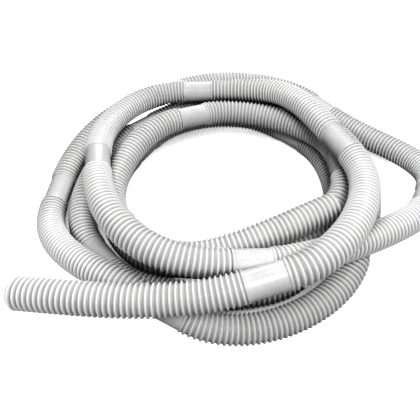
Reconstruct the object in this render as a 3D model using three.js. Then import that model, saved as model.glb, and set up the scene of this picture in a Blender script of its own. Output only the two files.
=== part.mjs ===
// Sectional corrugated vacuum hose lying in a coil, ends open. Millimetres, +Z up, floor at Z = 0.
// X runs to the right, Y away from the viewer, and the origin is on the floor under the middle of the coil.
import * as THREE from "three";

// Hose section. Each length is a folded wall; the sleeve between its crests and its bore stands for the folds.
const BORE_RADIUS = 19;
const CREST_RADIUS = 23.25;
const WALL_INNER_RADIUS = 21.6;
const SIDES = 10;

// Corrugated length between two cuffs: 41 ribs at 7.5 mm.
const RIB_PITCH = 7.5;
const RIBS_PER_LENGTH = 41;
const LENGTH = RIB_PITCH * RIBS_PER_LENGTH;
const SECTIONS_PER_LENGTH = 8;

// Joiner cuff: a plain barrel with a flat collar at each end and a spigot that plugs into the hose.
const CUFF_LENGTH = 60;
const BARREL_RADIUS = 20.5;
const COLLAR_RADIUS = 21.6;
const COLLAR_WIDTH = 3.6;
const SPIGOT_RADIUS = 20.2;
const SPIGOT_DEPTH = 5;
const SEAT_GAP = 0.4;

// Each tail is cut into rigid segments. One rib is left open at every bend, counted from the cuff that
// holds the tail. The free tail is pinned under the top strand near its cuff, so it bends further out.
const FREE_TAIL_BENDS = [17, 25, 33];
const OUTER_TAIL_BENDS = [9, 17, 25, 33];

const HOSE_COLOUR = 0xe4e4e2;
const CUFF_COLOUR = 0xf3f3f1;

// Centre height of hose that lies on the floor.
const LAID = CREST_RADIUS;

// The lie of the hose, walked clockwise from the free end: centre x, y, z, then heading (0 is +X,
// 90 is +Y) and climb in degrees.
const FREE_END = [131, -142, 110, -158, -6];
const CUFFS = [
  [-175, -167, 74, 135, -4],
  [-95, 133, 74, 27, -6],
  [171, -12, 76, -89, 2],
  [-90, -194, 29, 173, -4],
  [-195, 82, 36, 56, 5],
  [113, 136, LAID, -45, 0],
  [96, -191, LAID, -137, 0],
  [-234, -175, LAID, 130, 0],
  [-199, 154, 28, 45, -2],
  [123, 171, 60, -41, -3],
  [181, -159, 40, -113, -8],
  [-118, -282, 50, 157, 15],
  [-334, -29, 26, 86, 2],
  [-143, 257, 50, 26, 1],
  [186, 226, 26, -52, -3],
  [308, -78, 60, -121, 9],
  [-2, -248, 111, -174, 6],
  [-245, -45, 113, 101, -10],
  [-82, 210, 82, -4, 4],
  [162, -8, 124, -68, -1],
  [13, -289, 132, -168, -12],
];
const OUTER_END = [-319, -284, 94, 169, -11];

function station([x, y, z, heading, climb]) {
  const turn = THREE.MathUtils.degToRad(heading);
  const rise = THREE.MathUtils.degToRad(climb);
  const flat = Math.cos(rise);
  return {
    point: new THREE.Vector3(x, y, z),
    along: new THREE.Vector3(flat * Math.cos(turn), flat * Math.sin(turn), Math.sin(rise)),
  };
}

function shifted({ point, along }, distance) {
  return { point: point.clone().addScaledVector(along, distance), along };
}

// The curve a length takes between two open ends: its handles grow until it is LENGTH long.
function lineBetween(start, end) {
  const HANDLE_SEARCH_STEPS = 24;
  let low = 0;
  let high = LENGTH;
  let line;
  for (let step = 0; step < HANDLE_SEARCH_STEPS; step += 1) {
    const handle = (low + high) / 2;
    line = new THREE.CubicBezierCurve3(
      start.point,
      shifted(start, handle).point,
      shifted(end, -handle).point,
      end.point,
    );
    if (line.getLength() < LENGTH) low = handle;
    else high = handle;
  }
  return line;
}

// Level sideways and upright directions square to the hose, so every section has a corner straight down.
function squareTo(along) {
  const across = new THREE.Vector3(0, 0, 1).cross(along).normalize();
  return { across, upright: along.clone().cross(across) };
}

// Part of a line, from one fraction of its length to another.
class Stretch extends THREE.Curve {
  constructor(line, from, to) {
    super();
    this.line = line;
    this.from = from;
    this.to = to;
  }

  getPoint(fraction) {
    return this.line.getPointAt(THREE.MathUtils.lerp(this.from, this.to, fraction));
  }

  computeFrenetFrames(sections) {
    const frames = { tangents: [], normals: [], binormals: [] };
    for (let i = 0; i <= sections; i += 1) {
      const fraction = THREE.MathUtils.lerp(this.from, this.to, i / sections);
      const tangent = this.line.getTangentAt(fraction);
      const { across, upright } = squareTo(tangent);
      frames.tangents.push(tangent);
      frames.normals.push(across);
      frames.binormals.push(upright);
    }
    return frames;
  }
}

function polygon(radius) {
  return Array.from({ length: SIDES }, (_, i) => {
    const angle = -Math.PI / 2 + (2 * Math.PI * i) / SIDES;
    return new THREE.Vector2(radius * Math.cos(angle), radius * Math.sin(angle));
  });
}

function named(name, geometry, color) {
  const mesh = new THREE.Mesh(geometry, new THREE.MeshStandardMaterial({ color, roughness: 0.45 }));
  mesh.name = name;
  return mesh;
}

function sleeve(name, line, from, to) {
  const wall = new THREE.Shape(polygon(CREST_RADIUS));
  wall.holes.push(new THREE.Path(polygon(WALL_INNER_RADIUS)));
  const geometry = new THREE.ExtrudeGeometry(wall, {
    steps: Math.ceil((to - from) * SECTIONS_PER_LENGTH),
    extrudePath: new Stretch(line, from, to),
  });
  return named(name, geometry, HOSE_COLOUR);
}

function cuff(name, { point, along }) {
  const collarEnd = CUFF_LENGTH / 2 - SEAT_GAP;
  const collarStart = collarEnd - COLLAR_WIDTH;
  const spigotEnd = collarEnd + SPIGOT_DEPTH;
  const half = [
    [BORE_RADIUS, spigotEnd],
    [SPIGOT_RADIUS, spigotEnd],
    [SPIGOT_RADIUS, collarEnd],
    [COLLAR_RADIUS, collarEnd],
    [COLLAR_RADIUS, collarStart],
    [BARREL_RADIUS, collarStart],
  ];
  const otherHalf = half.map(([radius, offset]) => [radius, -offset]).reverse();
  const outline = [...half, ...otherHalf, half[0]].reverse();
  const profile = outline.map(([radius, offset]) => new THREE.Vector2(radius, offset));
  const mesh = named(name, new THREE.LatheGeometry(profile, SIDES), CUFF_COLOUR);
  const { across, upright } = squareTo(along);
  mesh.quaternion.setFromRotationMatrix(
    new THREE.Matrix4().makeBasis(across.clone().negate(), along, upright),
  );
  mesh.position.copy(point);
  return mesh;
}

const twoDigits = (number) => String(number).padStart(2, "0");

// Segments of a tail, numbered from the cuff that holds it out to the open end.
function tail(name, line, cuffIsAtStart, bends) {
  const nearRibs = [0, ...bends];
  const farRibs = [...bends.map((openRib) => openRib - 1), RIBS_PER_LENGTH];
  return nearRibs.map((nearRib, i) => {
    const near = nearRib / RIBS_PER_LENGTH;
    const far = farRibs[i] / RIBS_PER_LENGTH;
    const [from, to] = cuffIsAtStart ? [near, far] : [1 - far, 1 - near];
    return sleeve(`${name}_segment_${i + 1}`, line, from, to);
  });
}

const cuffStations = CUFFS.map(station);
const starts = [station(FREE_END), ...cuffStations.map((at) => shifted(at, CUFF_LENGTH / 2))];
const ends = [...cuffStations.map((at) => shifted(at, -CUFF_LENGTH / 2)), station(OUTER_END)];
const lines = starts.map((start, i) => lineBetween(start, ends[i]));

const hose = new THREE.Group();
hose.name = "vacuum_hose";
hose.add(...tail("free_tail", lines[0], false, FREE_TAIL_BENDS));
hose.add(...tail("outer_tail", lines[lines.length - 1], true, OUTER_TAIL_BENDS));
lines.slice(1, -1).forEach((line, i) => {
  hose.add(sleeve(`hose_length_${twoDigits(i + 1)}`, line, 0, 1));
});
cuffStations.forEach((at, i) => hose.add(cuff(`joiner_cuff_${twoDigits(i + 1)}`, at)));

export default hose;
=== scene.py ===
import math

import bpy
import numpy as np
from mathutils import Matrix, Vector


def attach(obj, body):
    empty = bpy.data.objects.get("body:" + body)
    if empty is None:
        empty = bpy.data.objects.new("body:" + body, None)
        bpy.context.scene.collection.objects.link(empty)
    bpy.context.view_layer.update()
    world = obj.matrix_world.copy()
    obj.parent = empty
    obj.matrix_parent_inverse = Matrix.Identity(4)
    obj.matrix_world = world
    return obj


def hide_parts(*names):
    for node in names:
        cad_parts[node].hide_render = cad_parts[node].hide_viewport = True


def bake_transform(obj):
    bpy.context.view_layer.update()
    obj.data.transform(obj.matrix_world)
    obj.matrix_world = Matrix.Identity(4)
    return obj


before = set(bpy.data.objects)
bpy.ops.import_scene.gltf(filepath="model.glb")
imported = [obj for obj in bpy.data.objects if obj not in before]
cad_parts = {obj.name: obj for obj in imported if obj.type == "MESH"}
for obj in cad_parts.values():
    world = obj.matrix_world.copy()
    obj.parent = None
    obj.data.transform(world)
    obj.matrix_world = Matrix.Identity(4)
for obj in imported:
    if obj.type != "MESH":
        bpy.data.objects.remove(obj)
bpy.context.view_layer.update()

SIDES = 40
SHARP_ANGLE = math.radians(50)
UP = np.array([0.0, 0.0, 1.0])

# Hose wall: a narrow round rib on each pitch, with a wide shallow groove between ribs.
RIB_PITCH = 0.0075
RIBS = 41
LENGTH = RIB_PITCH * RIBS
CREST_RADIUS = 0.02325
GROOVE_DEPTH = 0.0031
RIB_SHARPNESS = 1.9
WALL = 0.0011
RINGS_PER_RIB = 10

# Cuff: a plain barrel between two flat collars, moulded with a faint seam down each side.
CUFF_LENGTH = 0.060
BARREL_RADIUS = 0.0205
COLLAR_RADIUS = 0.0222
COLLAR_WIDTH = 0.0042
CUFF_END_RADIUS = 0.0206
BORE_RADIUS = 0.0190
SEAM_HEIGHT = 0.0003
SEAM_SPREAD = 0.10

# Tails: the rib that opens at each hinge, counted from the cuff that holds the tail, and a distance to
# either side of it at which points on the line are taken.
OPEN_RIBS = {"free_tail": [17, 25, 33], "outer_tail": [9, 17, 25, 33]}
BEND_REACH = 0.020


# ---------------------------------------------------------------- lines read from the frame


def numbered(prefix):
    return sorted(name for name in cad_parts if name.startswith(prefix))


def corners(node):
    """The distinct vertices of a CAD node."""
    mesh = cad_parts[node].data
    flat = np.zeros(len(mesh.vertices) * 3)
    mesh.vertices.foreach_get("co", flat)
    return np.unique(np.round(flat.reshape(-1, 3), 6), axis=0)


def spread_directions(points):
    """Directions of least, middle and greatest spread of some points."""
    return np.linalg.eigh(np.cov((points - points.mean(axis=0)).T))[1].T


def open_end(tail):
    """Centre of a tail's open rim and the outward direction there."""
    before, last = [corners(node) for node in numbered(f"{tail}_segment_")[-2:]]
    outward = last.mean(axis=0) - before.mean(axis=0)
    sections = 3
    rim = last[np.argsort(last @ outward)[-len(last) // sections :]]
    square = spread_directions(rim)[0]
    return rim.mean(axis=0), square * np.sign(square @ outward)


class Line:
    """The centre line of a length: a cubic curve with equal handles that make it LENGTH long."""

    SAMPLES = 600
    BISECTIONS = 40

    def __init__(self, start, start_way, end, end_way):
        shortest, longest = 0.0, LENGTH
        for _ in range(self.BISECTIONS):
            handle = (shortest + longest) / 2
            self.controls = [start, start + handle * start_way, end - handle * end_way, end]
            path = self.positions(np.linspace(0, 1, self.SAMPLES))
            steps = np.linalg.norm(np.diff(path, axis=0), axis=1)
            self.travel = np.concatenate([[0], np.cumsum(steps)])
            if self.travel[-1] < LENGTH:
                shortest = handle
            else:
                longest = handle

    def positions(self, share):
        t = np.asarray(share)[:, None]
        a, b, c, d = self.controls
        return (1 - t) ** 3 * a + 3 * (1 - t) ** 2 * t * b + 3 * (1 - t) * t**2 * c + t**3 * d

    def frames(self, distances):
        """Centres, and level sideways and upright directions, at distances along the line."""
        share = np.interp(distances, self.travel, np.linspace(0, 1, self.SAMPLES))
        t = share[:, None]
        a, b, c, d = self.controls
        ahead = (1 - t) ** 2 * (b - a) + 2 * (1 - t) * t * (c - b) + t**2 * (d - c)
        return (self.positions(share), *square_to(ahead))

    def point(self, distance):
        return self.positions(np.interp([distance], self.travel, np.linspace(0, 1, self.SAMPLES)))[0]


def square_to(ahead):
    """Level sideways and upright unit vectors square to each direction."""
    ahead = ahead / np.linalg.norm(ahead, axis=-1, keepdims=True)
    sideways = np.cross(UP, ahead)
    sideways /= np.linalg.norm(sideways, axis=-1, keepdims=True)
    return sideways, np.cross(ahead, sideways)


def cuff_stations():
    """Centre and direction of each cuff, walking from the free tail to the outer tail."""
    clouds = [corners(node) for node in numbered("joiner_cuff_")]
    centres = [cloud.mean(axis=0) for cloud in clouds]
    onward = centres[1:] + [open_end("outer_tail")[0]]
    stations = []
    for cloud, centre, target in zip(clouds, centres, onward):
        along = spread_directions(cloud)[2]
        stations.append((centre, along * np.sign(along @ (target - centre))))
    return stations


# ---------------------------------------------------------------- meshes


def closed_skin(name, rings, crest, material):
    """A closed mesh round a loop of rings. crest is 0 in a groove and 1 on a rib, for each ring."""
    count = len(rings)
    ring, side = np.divmod(np.arange(count * SIDES), SIDES)
    next_ring, next_side = (ring + 1) % count, (side + 1) % SIDES
    quads = np.stack(
        [
            ring * SIDES + side,
            ring * SIDES + next_side,
            next_ring * SIDES + next_side,
            next_ring * SIDES + side,
        ],
        axis=1,
    )
    mesh = bpy.data.meshes.new(name)
    mesh.vertices.add(count * SIDES)
    mesh.vertices.foreach_set("co", rings.astype(np.float32).ravel())
    mesh.loops.add(quads.size)
    mesh.loops.foreach_set("vertex_index", quads.astype(np.int32).ravel())
    mesh.polygons.add(len(quads))
    mesh.polygons.foreach_set("loop_start", np.arange(0, quads.size, 4, dtype=np.int32))
    mesh.update(calc_edges=True)
    mesh.shade_smooth()
    mesh.set_sharp_from_angle(angle=SHARP_ANGLE)
    mask = mesh.attributes.new("crest", "FLOAT", "POINT")
    mask.data.foreach_set("value", np.repeat(crest, SIDES).astype(np.float32))
    mesh.materials.append(material)
    piece = bpy.data.objects.new(name, mesh)
    bpy.context.scene.collection.objects.link(piece)
    return piece


def rings_round(centres, sideways, upright, radii):
    """A ring of SIDES points round each centre; radii is one value per ring or per point."""
    turn = 2 * np.pi * np.arange(SIDES) / SIDES
    around = (
        np.cos(turn)[None, :, None] * sideways[:, None, :]
        + np.sin(turn)[None, :, None] * upright[:, None, :]
    )
    radii = np.asarray(radii).reshape(len(centres), -1)
    return centres[:, None, :] + radii[:, :, None] * around


def rib_height(distances):
    """1 on the top of a rib, 0 in the middle of a groove."""
    wave = 0.5 - 0.5 * np.cos(2 * np.pi * distances / RIB_PITCH)
    return wave**RIB_SHARPNESS


def ribbed_skin(name, line, start, end, material):
    """The folded wall of a stretch of hose: ribbed outside and inside, closed by its two cut rims."""
    rings = round((end - start) / RIB_PITCH * RINGS_PER_RIB) + 1
    outward = np.linspace(start, end, rings)
    distances = np.concatenate([outward, outward[::-1]])
    height = rib_height(distances)
    radii = CREST_RADIUS - GROOVE_DEPTH * (1 - height)
    radii[rings:] -= WALL
    rings_made = rings_round(*line.frames(distances), radii)
    # The inner wall takes the painted groove shade all over.
    crest = np.where(np.arange(2 * rings) < rings, height, 0)
    return closed_skin(name, rings_made, crest, material)


def cuff_profile():
    """Offset from the middle of a cuff and radius, round its wall; the collars have soft edges."""
    half = CUFF_LENGTH / 2
    collar = half - COLLAR_WIDTH
    step = 0.0006
    outside = [
        (half, CUFF_END_RADIUS),
        (half, COLLAR_RADIUS - step),
        (half - step / 2, COLLAR_RADIUS - step / 4),
        (half - 2 * step, COLLAR_RADIUS),
        (collar + 2 * step, COLLAR_RADIUS),
        (collar + step, COLLAR_RADIUS - step / 3),
        (collar + step / 2, BARREL_RADIUS + step),
        (collar, BARREL_RADIUS + step / 3),
        (collar - 2 * step, BARREL_RADIUS),
        (collar / 2, BARREL_RADIUS),
    ]
    mirrored = [(-offset, radius) for offset, radius in reversed(outside)]
    return outside + [(0.0, BARREL_RADIUS)] + mirrored + [(-half, BORE_RADIUS), (half, BORE_RADIUS)]


def cuff_skin(name, centre, along, material):
    profile = np.array(cuff_profile())[::-1]
    sideways, upright = square_to(along)
    centres = centre + profile[:, :1] * along
    turn = 2 * np.pi * np.arange(SIDES) / SIDES
    seam = SEAM_HEIGHT * np.exp(-((np.sin(turn) / SEAM_SPREAD) ** 2))
    outer = (profile[:, 1] > BORE_RADIUS + WALL)[:, None]
    radii = profile[:, 1:] + np.where(outer, seam[None, :], 0)
    frames = [np.repeat(way[None, :], len(profile), axis=0) for way in (sideways, upright)]
    rings = rings_round(centres, *frames, radii)
    return closed_skin(name, rings, np.ones(len(profile)), material)


# ---------------------------------------------------------------- materials


# How far away a neighbour still casts painted shade on the plastic, and the openness that counts as shut
# and as open.
GAP_SHADE_REACH = 0.05
GAP_SHADE_RANGE = (0.10, 0.46)
FLOOR_GAP_SHADE_RANGE = (0.05, 0.28)

# Greys of the ribbed wall: painted shade at the bottom of a groove, at its darkest and lightest, a rib,
# and painted shade on a wall deep in a gap.
# The crest mask reaches the full grey of a rib at RIB_COLOUR_FULL_AT.
GROOVE_SHADE_GREYS = (0.34, 0.42)
RIB_GREY = 0.92
RIB_COLOUR_FULL_AT = 0.75
WALL_GAP_SHADE_GREY = 0.05

# Greys of a cuff: the least and the most of its cloudy tone, a speck, and painted shade on a cuff deep in
# a gap.
CUFF_GREYS = (0.62, 0.68)
SPECK_GREY = 0.45
CUFF_GAP_SHADE_GREY = 0.10

PLASTIC_IOR = 1.5


class Nodes:
    """A material's node tree with short calls to add and link nodes."""

    def __init__(self, name):
        self.material = bpy.data.materials.new(name)
        self.material.use_nodes = True
        self.tree = self.material.node_tree
        self.shader = self.tree.nodes["Principled BSDF"]

    def add(self, kind, inputs=None, **settings):
        node = self.tree.nodes.new(kind)
        for key, value in settings.items():
            setattr(node, key, value)
        for key, value in (inputs or {}).items():
            self.feed(node, key, value)
        return node

    def feed(self, node, key, value):
        if isinstance(value, bpy.types.NodeSocket):
            self.tree.links.new(value, node.inputs[key])
        else:
            node.inputs[key].default_value = value

    def noise(self, scale, detail=2.0):
        where = self.add("ShaderNodeTexCoord").outputs["Object"]
        inputs = {"Vector": where, "Scale": scale, "Detail": detail}
        return self.add("ShaderNodeTexNoise", inputs).outputs["Fac"]

    def mapped(self, value, low, high, source=(0.3, 0.7)):
        return self.add(
            "ShaderNodeMapRange",
            {"Value": value, "From Min": source[0], "From Max": source[1], "To Min": low, "To Max": high},
        ).outputs["Result"]

    def mixed(self, share, first, second, blend="MIX"):
        # The colour sockets share their names with the float ones, so they are reached by number.
        first_colour, second_colour, mixed_colour = 6, 7, 2
        node = self.add("ShaderNodeMix", data_type="RGBA", blend_type=blend)
        self.feed(node, "Factor", share)
        self.feed(node, first_colour, first)
        self.feed(node, second_colour, second)
        return node.outputs[mixed_colour]

    def openness(self, reach):
        """How much of the sky a point sees past whatever lies within reach: 0 in a gap, 1 in the open."""
        return self.add("ShaderNodeAmbientOcclusion", {"Distance": reach}, samples=8).outputs["AO"]

    def bumps(self, *layers):
        """Bump layers of (height, strength, distance), one on another."""
        normal = None
        for height, strength, distance in layers:
            inputs = {"Height": height, "Strength": strength, "Distance": distance}
            if normal is not None:
                inputs["Normal"] = normal
            normal = self.add("ShaderNodeBump", inputs).outputs["Normal"]
        self.feed(self.shader, "Normal", normal)


def grey(value, warmth=0.0):
    return (value, value * (1 - warmth / 2), value * (1 - warmth), 1.0)


def ribbed_plastic():
    nodes = Nodes("ribbed_plastic")
    crest = nodes.add("ShaderNodeAttribute", attribute_name="crest").outputs["Fac"]
    share = nodes.mapped(crest, 0.0, 1.0, source=(0.0, RIB_COLOUR_FULL_AT))
    # Painted shade in the grooves: dark grey at the bottom of each groove, varied at random between two
    # greys, giving way to the rib grey on the crests.
    groove_shade_variation = nodes.mapped(nodes.noise(28.0, 4.0), 0.0, 1.0)
    groove_shade = nodes.mixed(groove_shade_variation, *[grey(value) for value in GROOVE_SHADE_GREYS])
    ribbed = nodes.mixed(share, groove_shade, grey(RIB_GREY))
    blotch = nodes.mixed(nodes.mapped(nodes.noise(9.0), 0.0, 0.5), grey(1.0), grey(0.90, 0.01), "MULTIPLY")
    tint = nodes.mixed(1.0, ribbed, blotch, "MULTIPLY")
    # Painted shade: the wall turns near black where neighbours close in round it.
    gap_shade = nodes.mapped(nodes.openness(GAP_SHADE_REACH), 0.0, 1.0, source=GAP_SHADE_RANGE)
    nodes.feed(nodes.shader, "Base Color", nodes.mixed(gap_shade, grey(WALL_GAP_SHADE_GREY), tint))
    nodes.feed(nodes.shader, "Roughness", nodes.mapped(nodes.noise(160.0, 3.0), 0.34, 0.46))
    nodes.feed(nodes.shader, "IOR", PLASTIC_IOR)
    nodes.bumps((nodes.noise(1400.0), 0.12, 0.0002), (nodes.noise(190.0), 0.20, 0.0004))
    return nodes.material


def cuff_plastic():
    nodes = Nodes("cuff_plastic")
    cloudiness = nodes.mapped(nodes.noise(40.0, 3.0), 0.0, 1.0)
    cloud = nodes.mixed(cloudiness, *[grey(value) for value in CUFF_GREYS])
    specks = nodes.mapped(nodes.noise(900.0, 1.0), 0.0, 0.25, source=(0.68, 0.76))
    speckled = nodes.mixed(specks, cloud, grey(SPECK_GREY, 0.03))
    # Painted shade: the cuff turns dark where neighbours close in round it.
    gap_shade = nodes.mapped(nodes.openness(GAP_SHADE_REACH), 0.0, 1.0, source=GAP_SHADE_RANGE)
    nodes.feed(nodes.shader, "Base Color", nodes.mixed(gap_shade, grey(CUFF_GAP_SHADE_GREY), speckled))
    nodes.feed(nodes.shader, "Roughness", nodes.mapped(nodes.noise(220.0, 4.0), 0.22, 0.36))
    nodes.feed(nodes.shader, "IOR", PLASTIC_IOR)
    nodes.bumps((nodes.noise(70.0), 0.25, 0.0006), (nodes.noise(1500.0), 0.06, 0.0002))
    return nodes.material


def floor_paper():
    """A lit white sweep: it glows to the camera, with painted shade where the glow is taken away in tight
    gaps, and it lights the hose little.
    """
    nodes = Nodes("floor_paper")
    seen = nodes.add("ShaderNodeLightPath").outputs["Is Camera Ray"]
    fibre = nodes.mixed(nodes.noise(60.0), grey(0.14), grey(0.16))
    nodes.feed(nodes.shader, "Base Color", nodes.mixed(seen, grey(0.20), fibre))
    # Painted shade: the glow fades to black where the hose closes in over the floor.
    glow_with_gap_shade = nodes.mapped(nodes.openness(2 * GAP_SHADE_REACH), 0.0, 0.90, source=FLOOR_GAP_SHADE_RANGE)
    nodes.feed(nodes.shader, "Emission Color", nodes.mixed(seen, grey(0.0), grey(1.0)))
    nodes.feed(nodes.shader, "Emission Strength", glow_with_gap_shade)
    nodes.feed(nodes.shader, "Roughness", 0.9)
    nodes.feed(nodes.shader, "Specular IOR Level", 0.0)
    return nodes.material


# ---------------------------------------------------------------- the hose


stations = cuff_stations()
free_rim, free_outward = open_end("free_tail")
outer_rim, outer_outward = open_end("outer_tail")
half_cuff = CUFF_LENGTH / 2
starts = [(free_rim, -free_outward)] + [(centre + half_cuff * way, way) for centre, way in stations]
ends = [(centre - half_cuff * way, way) for centre, way in stations] + [(outer_rim, outer_outward)]
lines = [Line(*start, *end) for start, end in zip(starts, ends)]

hose_material = ribbed_plastic()
cuff_material = cuff_plastic()

for node, line in zip(numbered("hose_length_"), lines[1:-1]):
    piece = ribbed_skin(f"{node}_skin", line, 0.0, LENGTH, hose_material)
    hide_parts(node)
    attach(piece, "coil")

for node, (centre, along) in zip(numbered("joiner_cuff_"), stations):
    piece = cuff_skin(f"{node}_skin", centre, along, cuff_material)
    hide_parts(node)
    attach(piece, "coil")


def tail_skins(tail, line, cuff_is_at_start):
    """Skins that hand over in mid-segment, each spanning the one hinge it lies across."""

    def along(from_cuff):
        return from_cuff if cuff_is_at_start else LENGTH - from_cuff

    open_ribs = OPEN_RIBS[tail]
    nodes = numbered(f"{tail}_segment_")
    handovers = [(rib + following) // 2 - 1 for rib, following in zip(open_ribs, open_ribs[1:])]
    grooves = [0, *handovers, RIBS]
    for i, open_rib in enumerate(open_ribs):
        reach = sorted([along(grooves[i] * RIB_PITCH), along(grooves[i + 1] * RIB_PITCH)])
        piece = ribbed_skin(f"{tail}_skin_{i + 1}", line, *reach, hose_material)
        hinge = (open_rib - 0.5) * RIB_PITCH
        tuple(line.point(along(hinge - BEND_REACH)))
        tuple(line.point(along(hinge + BEND_REACH)))
        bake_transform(piece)
        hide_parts(nodes[i])
    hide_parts(nodes[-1])


tail_skins("free_tail", lines[0], False)
tail_skins("outer_tail", lines[-1], True)


# ---------------------------------------------------------------- floor, light and camera


def area_light(name, place, target, size, watts):
    data = bpy.data.lights.new(name, "AREA")
    data.shape = "DISK"
    data.size = size
    data.energy = watts
    lamp = bpy.data.objects.new(name, data)
    bpy.context.scene.collection.objects.link(lamp)
    lamp.location = place
    lamp.rotation_euler = (Vector(target) - Vector(place)).to_track_quat("-Z", "Y").to_euler()


FLOOR_HALF_SIZE = 12.0
floor_mesh = bpy.data.meshes.new("floor")
floor_corners = [(-1, -1), (1, -1), (1, 1), (-1, 1)]
floor_mesh.from_pydata(
    [(x * FLOOR_HALF_SIZE, y * FLOOR_HALF_SIZE, 0) for x, y in floor_corners], [], [(0, 1, 2, 3)]
)
floor_mesh.materials.append(floor_paper())
floor = bpy.data.objects.new("floor", floor_mesh)
bpy.context.scene.collection.objects.link(floor)

# White beyond the floor where the camera looks, and only a weak fill where it lights the hose.
WORLD_FILL = 0.08
WORLD_SEEN = 1.0
world = bpy.data.worlds.new("studio")
bpy.context.scene.world = world
world.use_nodes = True
background = world.node_tree.nodes["Background"]
background.inputs["Color"].default_value = grey(1.0)
seen_directly = world.node_tree.nodes.new("ShaderNodeLightPath").outputs["Is Camera Ray"]
strength = world.node_tree.nodes.new("ShaderNodeMapRange")
strength.inputs["To Min"].default_value = WORLD_FILL
strength.inputs["To Max"].default_value = WORLD_SEEN
world.node_tree.links.new(seen_directly, strength.inputs["Value"])
world.node_tree.links.new(strength.outputs["Result"], background.inputs["Strength"])

COIL_MIDDLE = (-0.03, -0.03, 0.05)
# Each light's name, place, width and power in watts.
LIGHTS = [
    ("key_front", (0.1, -1.0, 1.5), 0.6, 16),
    ("top_soft", (0.2, 0.4, 1.9), 1.2, 12),
    ("back_fill", (-0.2, 1.5, 0.9), 1.0, 10),
]
for name, place, width, watts in LIGHTS:
    area_light(name, place, COIL_MIDDLE, width, watts)

CAMERA_LOOKS_AT = Vector((-0.059, -0.050, 0.0))
CAMERA_DISTANCE = 0.824
CAMERA_PITCH = math.radians(47.9)
CAMERA_LENS = 38.4
SENSOR_WIDTH = 36.0
camera_data = bpy.data.cameras.new("camera")
camera_data.lens = CAMERA_LENS
camera_data.sensor_width = SENSOR_WIDTH
camera = bpy.data.objects.new("camera", camera_data)
bpy.context.scene.collection.objects.link(camera)
camera.location = CAMERA_LOOKS_AT + CAMERA_DISTANCE * Vector(
    (0, -math.cos(CAMERA_PITCH), math.sin(CAMERA_PITCH))
)
camera.rotation_euler = (math.pi / 2 - CAMERA_PITCH, 0, 0)
bpy.context.scene.camera = camera
bpy.context.scene.view_settings.view_transform = "Standard"
bpy.context.scene.view_settings.look = "High Contrast"
